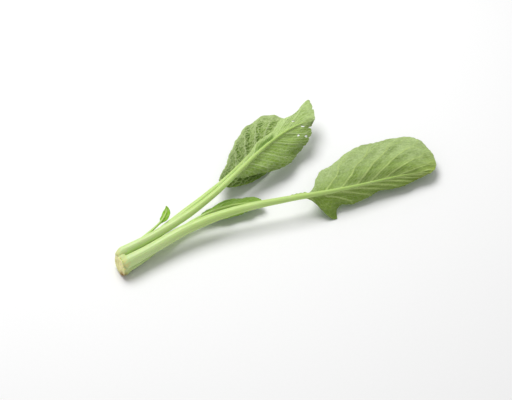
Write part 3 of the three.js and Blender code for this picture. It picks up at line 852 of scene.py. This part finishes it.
def pale_bloom(board):
    """Pale blotches, denser to the margin and on the back half, and fewer to a smooth blade's tip."""
    spots = board.ranged(board.blotches, 0.4, 0.66, 0.0, 0.8)
    outward = board.ranged(board.reach, 0.0, 0.8, 0.4, 1.0)
    halves = board.most(board.by_half(0.15, 1.0), board.by_pleat(0.0, 0.9))
    tipward = board.most(board.ranged(board.along, 0.35, 0.9, 1.0, 0.5), board.pleat)
    return board.times(spots, outward, halves, tipward, board.ranged(board.fresh, 0.2, 1.0, 1.0, 0.0))


def underside_tone(board, looks):
    """The colour of the side that looks up, layer on layer: clouds, a yellower tip, the fine net, painted
    shade on the front half, painted shade in the furrows beside the veins, a sere margin, fresh young green,
    blotches, dust with painted light on the margin, crinkle cells with deep green and painted shade in their
    pits, and the painted shadow of the crease."""
    tip = board.times(board.ranged(board.along, 0.55, 1.0, 0.0, 0.7), board.by_pleat(1.0, 0.25))
    shaded = board.most(board.by_pleat(1.0, 0.0), board.ranged(board.reach, 0.2, 0.8, 0.0, 0.9))
    furrow_shade = vein_furrow_shade(board)
    sere = board.ranged(board.reach, 0.35, 0.95, 0.0, 0.75)
    sere = board.times(board.ranged(board.along, 0.72, 0.95), sere, board.by_pleat(1.0, 0.0))
    patchy = board.ranged(board.blotches, 0.3, 0.7, 0.65, 1.0)
    # the dust is kept thinner over the painted shade in the furrows
    less_over_furrow_shade = board.ranged(furrow_shade, 0.0, 0.6, 1.0, 0.55)
    bowl = board.field("bowl")
    crinkled = board.times(board.crinkle, board.ranged(board.clouds, 0.3, 0.6, 0.6, 1.0))
    return board.layered(looks.underside, (
        (board.ranged(board.clouds, 0.35, 0.65), looks.underside_shade),
        (tip, looks.underside_tip),
        (board.times(board.net, 0.22), looks.vein),
        # painted shade: the front half, which faces away from the lamp, is darker; on a pleated blade only
        # towards its margin
        (board.times(board.by_half(0.6, 0.0), shaded), looks.underside_shade),
        # painted shade in the furrows beside the side veins
        (furrow_shade, looks.furrow_shade),
        (sere, looks.sere),
        (board.times(board.fresh, 0.9), looks.fresh),
        (pale_bloom(board), looks.bloom),
        # pale dust and painted light, growing to the margin
        (board.times(board.most(board.dust_and_shading, 0.0), patchy, less_over_furrow_shade), looks.dust_and_shading),
        # deep green and painted shade in the pits of the crinkle cells
        (board.times(board.ranged(bowl, 0.1, 0.7, 0.0, 0.55), crinkled), looks.pit_green_and_shade),
        (board.times(board.ranged(bowl, 0.04, 0.24, 0.9, 0.0), crinkled), looks.vein),
        # painted shadow in the crease
        (board.crease, looks.crease),
    ))


def upper_tone(board, looks):
    """The colour of the side that looks down: clouds and a fine net."""
    return board.layered(looks.upper, (
        (board.ranged(board.clouds, 0.35, 0.65), looks.upper_shade),
        (board.times(board.net, 0.15), looks.vein),
    ))


def blade_finish(looks):
    """Matt green leaf: a paler underside and a fresh upper side, both with pale veins, a net of small cells,
    mottling and some light through the blade. The underside's colour also holds painted shade and painted
    light."""
    board = BladeBoard("choy_sum_blade")
    juicy = board.ranged(board.most(board.crinkle, board.pleat), 0.25, 0.8)
    tone = board.layered(upper_tone(board, looks), (
        (board.field("underside"), underside_tone(board, looks)),
        (board.times(vein_lines(board), board.ranged(board.fresh, 0.2, 1.0, 0.9, 0.3)),
         board.mixed(juicy, looks.juicy_vein, looks.vein)),
        (board.ranged(board.reach, 0.965, 1.0, 0.0, 0.45), looks.vein),
    ))
    # painted shade: a crinkled blade darker at its base, and the blades darker beside the midrib and at the
    # front margin, where the dust cover is below zero
    shaded_base = board.times(board.crinkle, board.ranged(board.along, 0.2, 0.75, -0.24, 0.08))
    dusk = board.maths("MINIMUM", board.dust_and_shading, 0.0)
    shade = board.times(board.ranged(board.specks, 0.3, 0.7, 0.8, 1.12), board.field("tone"),
                        board.maths("ADD", shaded_base, 1.0), board.maths("ADD", dusk, 1.0))
    grey = board.add("ShaderNodeCombineColor", {0: shade, 1: shade, 2: shade}).outputs[0]
    tone = board.mixed(1.0, tone, grey, "MULTIPLY")
    bump = board.bumped(board.maths("ADD", board.net, board.specks), 0.00022, 0.9)
    shader = board.principled(tone, board.ranged(board.specks, 0.3, 0.7, 0.5, 0.66), 0.22, {"Normal": bump})
    glow = board.add("ShaderNodeBsdfTranslucent", {"Color": (*looks.glow, 1.0)}).outputs[0]
    mix = board.add("ShaderNodeMixShader", {0: looks.translucency, 1: shader, 2: glow}).outputs[0]
    return board.output(mix)


def stalk_finish(looks):
    """Juicy satin stalk: pale at the base, greener along the midrib, with fine darker strands along its
    length, a leafy wing and torn skin at the root."""
    board = NodeBoard("choy_sum_stalk")
    along = board.field("along")
    strands = board.field("strands", "Vector")
    streak = board.noise(strands, 1.0, 3.0, 0.6)
    clouds = board.noise(board.place(), 60.0, 2.0)
    torn = board.ranged(board.noise(strands, 0.6, 3.0, 0.7), 0.3, 0.7, -0.6, 0.4)
    peel = board.maths("ADD", board.field("root"), torn)
    tone = board.layered(looks.base, (
        (board.ranged(along, 0.0, 0.35), looks.middle),
        (board.ranged(along, 0.4, 0.9), looks.midrib),
        (board.ranged(streak, 0.45, 0.75, 0.0, 0.5), looks.strand),
        (board.ranged(clouds, 0.5, 0.8, 0.0, 0.35), looks.base),
        (board.ranged(board.field("wing"), 0.2, 0.6), looks.wing),
        (board.ranged(peel, 0.35, 0.55, 0.0, 0.85), looks.peel),
    ))
    shader = board.principled(tone, board.ranged(streak, 0.3, 0.7, 0.32, 0.46), 0.45, {
        "Normal": board.bumped(streak, 0.00012, 0.6), "Subsurface Weight": 0.3,
        "Subsurface Radius": (0.004, 0.006, 0.002), "Subsurface Scale": 0.6})
    return board.output(shader)


def stem_finish(looks):
    """Cut stem base: pale green skin with painted shade that deepens its green near the ground, and a cream
    cut with hairs and a fibrous ring, which dries brown at its rim and at its lower lip."""
    board = NodeBoard("choy_sum_stem")
    place = board.place()
    grain = board.noise(place, 900.0, 4.0, 0.65)
    clouds = board.noise(place, 180.0, 3.0)
    streak = board.noise(board.field("strands", "Vector"), 1.2, 3.0, 0.6)
    radial = board.field("radial")
    height = board.add("ShaderNodeSeparateXYZ", {0: place}).outputs[2]
    skin = board.layered(looks.skin, (
        (board.ranged(streak, 0.4, 0.7, 0.0, 0.6), looks.skin_shade),
        (board.ranged(board.field("frill"), 0.1, 0.5, 0.0, 0.8), looks.cut_shade),
        # painted shade: the skin darker and greener near the ground
        (board.ranged(height, 0.002, 0.012, 0.9, 0.0), looks.skin_ground_shade),
    ))
    hairs = board.add("ShaderNodeMapping", {"Vector": place, "Scale": (200.0, 1100.0, 170.0)}).outputs[0]
    off_ring = board.part(board.maths("SUBTRACT", radial, STEM["fibre_ring"]))
    dried = board.times(board.ranged(radial, 0.86, 1.0, 0.0, 0.6), board.ranged(clouds, 0.45, 0.62))
    cut = board.layered(looks.cut, (
        (board.ranged(board.noise(hairs, 1.0, 3.0, 0.6), 0.45, 0.62, 0.0, 0.9), looks.cut_shade),
        (board.ranged(off_ring, 0.02, 0.14, 0.35, 0.0), looks.skin),
        (dried, looks.scar),
    ))
    tone = board.layered(skin, ((board.field("cut"), cut), (board.field("dry"), looks.scar)))
    shader = board.principled(tone, board.ranged(grain, 0.3, 0.7, 0.5, 0.75), 0.35, {
        "Normal": board.bumped(grain, 0.0004, 0.8), "Subsurface Weight": 0.25,
        "Subsurface Radius": (0.004, 0.005, 0.002), "Subsurface Scale": 0.5})
    return board.output(shader)


def floor_finish(looks):
    """Matt white paper with a barely visible grain."""
    board = NodeBoard("paper_floor")
    grain = board.noise(board.place(), 400.0, 3.0)
    tone = board.mixed(board.ranged(grain, 0.3, 0.7, 0.0, 0.03), looks.floor, looks.floor_grain)
    return board.output(board.principled(tone, 0.9, 0.1))


def tint(name, description, default):
    """A colour property."""
    return FloatVectorProperty(
        name=name, description=description, default=default, subtype="COLOR", size=3, min=0, max=1)


def metres(name, description, default):
    """A length property."""
    return FloatProperty(
        name=name, description=description, default=default, unit="LENGTH", subtype="DISTANCE", precision=5)


class ChoySumBladeLooks(bpy.types.PropertyGroup):
    """Sizes and colours of the blades."""
    thickness: metres("Thickness", "Blade thickness away from its veins", 0.00045)
    vein_height: metres("Vein height", "How far a side vein stands up on the underside", 0.0004)
    translucency: FloatProperty(name="Translucency", description="Share of light that passes the blade",
                                default=0.2, subtype="FACTOR", min=0, max=1)
    underside: tint("Underside", "Pale matt side that looks up", (0.345, 0.495, 0.115))
    # Also the painted shade on the front half of the underside
    underside_shade: tint("Underside shade", "Darker clouds on the underside", (0.25, 0.39, 0.045))
    underside_tip: tint("Underside tip", "Yellower green towards the tip", (0.295, 0.44, 0.045))
    upper: tint("Upper side", "Fresh green of the side that looks down", (0.2, 0.42, 0.035))
    upper_shade: tint("Upper shade", "Darker clouds on the upper side", (0.13, 0.31, 0.025))
    vein: tint("Vein", "Pale net and the veins of a crinkled blade", (0.54, 0.67, 0.3))
    juicy_vein: tint("Juicy vein", "Yellower side veins of a smooth blade", (0.56, 0.71, 0.24))
    # Painted shade beside the side veins
    furrow_shade: tint("Furrow", "Deeper green beside the side veins", (0.2, 0.33, 0.035))
    sere: tint("Sere", "Yellowing margin at the tip", (0.42, 0.53, 0.04))
    fresh: tint("Fresh", "Brighter green of the young inner leaves", (0.21, 0.43, 0.012))
    bloom: tint("Bloom", "Pale blotches", (0.43, 0.57, 0.24))
    # Pale wax, and painted light on the margins that face the lamp
    dust_and_shading: tint("Dust", "Pale dusty wax that thickens to the margin", (0.57, 0.72, 0.32))
    # Deep green and painted shade in the hollows
    pit_green_and_shade: tint("Pit", "Deep green in the hollows of a crinkled blade", (0.14, 0.26, 0.04))
    # Painted shadow in the fold
    crease: tint("Crease", "Dark green in the fold beside a midrib", (0.1, 0.2, 0.018))
    glow: tint("Glow", "Light through the blade", (0.36, 0.55, 0.06))


class ChoySumStalkLooks(bpy.types.PropertyGroup):
    """Sizes and colours of the stalks."""
    strand_depth: FloatProperty(name="Strand depth", description="Height of a strand over the stalk's size",
                                default=0.018, subtype="FACTOR", min=0, max=0.1)
    base: tint("Base", "Pale green at the base", (0.6, 0.745, 0.335))
    middle: tint("Middle", "Green half way up the stalk", (0.52, 0.69, 0.22))
    midrib: tint("Midrib", "Green along the blade", (0.42, 0.58, 0.15))
    strand: tint("Strand", "Darker strands", (0.36, 0.55, 0.13))
    wing: tint("Wing", "Leafy wing along the stalk", (0.3, 0.46, 0.1))
    peel: tint("Peel", "Torn cream skin beside the cut", (0.7, 0.68, 0.27))


class ChoySumStemLooks(bpy.types.PropertyGroup):
    """Colours of the stem base."""
    skin: tint("Skin", "Pale green skin", (0.6, 0.7, 0.33))
    skin_shade: tint("Skin shade", "Greener streaks of the skin", (0.48, 0.6, 0.2))
    # Painted shade near the ground
    skin_ground_shade: tint("Low skin", "Deeper green of the skin near the ground", (0.36, 0.48, 0.12))
    cut: tint("Cut", "Cream of the cut", (1.0, 0.97, 0.5))
    cut_shade: tint("Cut shade", "Drier cream of the cut", (0.82, 0.7, 0.27))
    scar: tint("Scar", "Brown of dried rims and scars", (0.3, 0.165, 0.045))


class ChoySumStageLooks(bpy.types.PropertyGroup):
    """Floor, light and camera."""
    floor: tint("Floor", "Floor colour", (0.9, 0.9, 0.9))
    floor_grain: tint("Floor grain", "Darker grain of the floor", (0.7, 0.7, 0.7))
    floor_size: metres("Floor size", "Side of the floor", 6.0)
    sky: FloatProperty(name="Sky", description="Strength of the even light all round", default=0.45, min=0)
    key: FloatProperty(name="Key", description="Power of the large lamp above", default=13.2, unit="POWER")
    key_size: metres("Key size", "Width of the lamp", 0.9)
    key_place: FloatVectorProperty(name="Key place", description="Lamp from the target: right, away and up",
                                   default=(-0.3, 0.45, 1.1), unit="LENGTH", subtype="TRANSLATION", size=3)
    target_height: metres("Target height", "Height at which the lamp and the camera look", 0.02)
    azimuth: FloatProperty(name="Azimuth", description="Turn of the camera round the plant",
                           default=math.radians(-35), subtype="ANGLE")
    elevation: FloatProperty(name="Elevation", description="Camera above the horizon",
                             default=math.radians(45), subtype="ANGLE")
    distance: metres("Distance", "Camera to the plant", 0.98)
    lens: FloatProperty(name="Lens", description="Focal length", default=80.0, unit="CAMERA")


def aim(name, data, place, target):
    """Puts a lamp or a camera at a place and turns it to the target."""
    thing = bpy.data.objects.new(name, data)
    thing.location = place
    thing.rotation_euler = (target - place).to_track_quat("-Z", "Y").to_euler()
    bpy.context.scene.collection.objects.link(thing)
    return thing


def stand_for(piece, node):
    """Puts a finished piece under the root body and hides the frame's node that it stands for."""
    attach(piece, "root")
    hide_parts(node)


class CHOYSUM_OT_stem(bpy.types.Operator):
    """Make the cut stem base"""
    bl_idname = "choysum.stem"
    bl_label = "Stem Base"

    def execute(self, context):
        stand_for(stem_piece(stem_finish(context.scene.choysum_stem)), "stem_base")
        return {"FINISHED"}


class CHOYSUM_OT_stalks(bpy.types.Operator):
    """Make the five stalks with their midribs"""
    bl_idname = "choysum.stalks"
    bl_label = "Stalks"

    def execute(self, context):
        looks = context.scene.choysum_stalk
        finish = stalk_finish(looks)
        for leaf in LEAVES:
            stand_for(stalk_piece(leaf, leaf_spine(leaf), looks, finish), leaf["name"] + "_stalk")
        return {"FINISHED"}


class CHOYSUM_OT_blades(bpy.types.Operator):
    """Make the five veined blades"""
    bl_idname = "choysum.blades"
    bl_label = "Blades"

    def execute(self, context):
        looks = context.scene.choysum_blade
        finish = blade_finish(looks)
        for leaf in LEAVES:
            stand_for(blade_piece(leaf, leaf_spine(leaf), looks, finish), leaf["name"] + "_blade")
        return {"FINISHED"}


class CHOYSUM_OT_stage(bpy.types.Operator):
    """Make the floor, the light and the camera"""
    bl_idname = "choysum.stage"
    bl_label = "Stage"

    def execute(self, context):
        looks = context.scene.choysum_stage
        scene = context.scene
        side = np.linspace(-looks.floor_size / 2, looks.floor_size / 2, FLOOR_LINES) / MM
        x, y = np.meshgrid(side, side, indexing="ij")
        points = np.stack([x, y, np.zeros_like(x)], -1).reshape(-1, 3) + ORIGIN
        quads = grid_quads(np.arange(FLOOR_LINES ** 2).reshape(FLOOR_LINES, FLOOR_LINES)).reshape(-1, 4)
        make_piece("floor", points, quads, None, {}, floor_finish(looks))

        world = bpy.data.worlds.new("studio")
        world.use_nodes = True
        world.node_tree.nodes["Background"].inputs["Color"].default_value = (1.0, 1.0, 1.0, 1.0)
        world.node_tree.nodes["Background"].inputs["Strength"].default_value = looks.sky
        scene.world = world
        scene.view_settings.view_transform = "Standard"

        right = Vector((math.cos(looks.azimuth), math.sin(looks.azimuth), 0))
        away = Vector((-math.sin(looks.azimuth), math.cos(looks.azimuth), 0))
        up = Vector((0, 0, 1))
        target = Vector((*(-ORIGIN[:2] * MM), looks.target_height))
        lamp = bpy.data.lights.new("key", "AREA")
        lamp.shape, lamp.size, lamp.energy = "DISK", looks.key_size, looks.key
        across, behind, above = looks.key_place
        aim("key", lamp, target + right * across + away * behind + up * above, target)

        lens = bpy.data.cameras.new("camera")
        lens.sensor_fit, lens.sensor_width, lens.lens = "HORIZONTAL", SENSOR_WIDTH, looks.lens
        back = -away * math.cos(looks.elevation) + up * math.sin(looks.elevation)
        scene.camera = aim("camera", lens, target + back * looks.distance, target)
        return {"FINISHED"}


class CHOYSUM_PT_panel(bpy.types.Panel):
    """Lists what the add-on makes"""
    bl_idname = "CHOYSUM_PT_panel"
    bl_label = "Choy Sum"
    bl_space_type = "VIEW_3D"
    bl_region_type = "UI"
    bl_category = "Choy Sum"

    def draw(self, context):
        for operator in OPERATORS:
            self.layout.operator(operator.bl_idname)


LOOKS = {
    "choysum_blade": ChoySumBladeLooks,
    "choysum_stalk": ChoySumStalkLooks,
    "choysum_stem": ChoySumStemLooks,
    "choysum_stage": ChoySumStageLooks,
}
OPERATORS = (CHOYSUM_OT_stem, CHOYSUM_OT_stalks, CHOYSUM_OT_blades, CHOYSUM_OT_stage)
CLASSES = (*LOOKS.values(), *OPERATORS, CHOYSUM_PT_panel)


def register():
    for each in CLASSES:
        bpy.utils.register_class(each)
    for key, group in LOOKS.items():
        setattr(bpy.types.Scene, key, PointerProperty(type=group))


def unregister():
    for key in LOOKS:
        delattr(bpy.types.Scene, key)
    for each in reversed(CLASSES):
        bpy.utils.unregister_class(each)


def main():
    register()
    bpy.ops.choysum.stem()
    bpy.ops.choysum.stalks()
    bpy.ops.choysum.blades()
    bpy.ops.choysum.stage()
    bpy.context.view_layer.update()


if __name__ == "__main__":
    main()
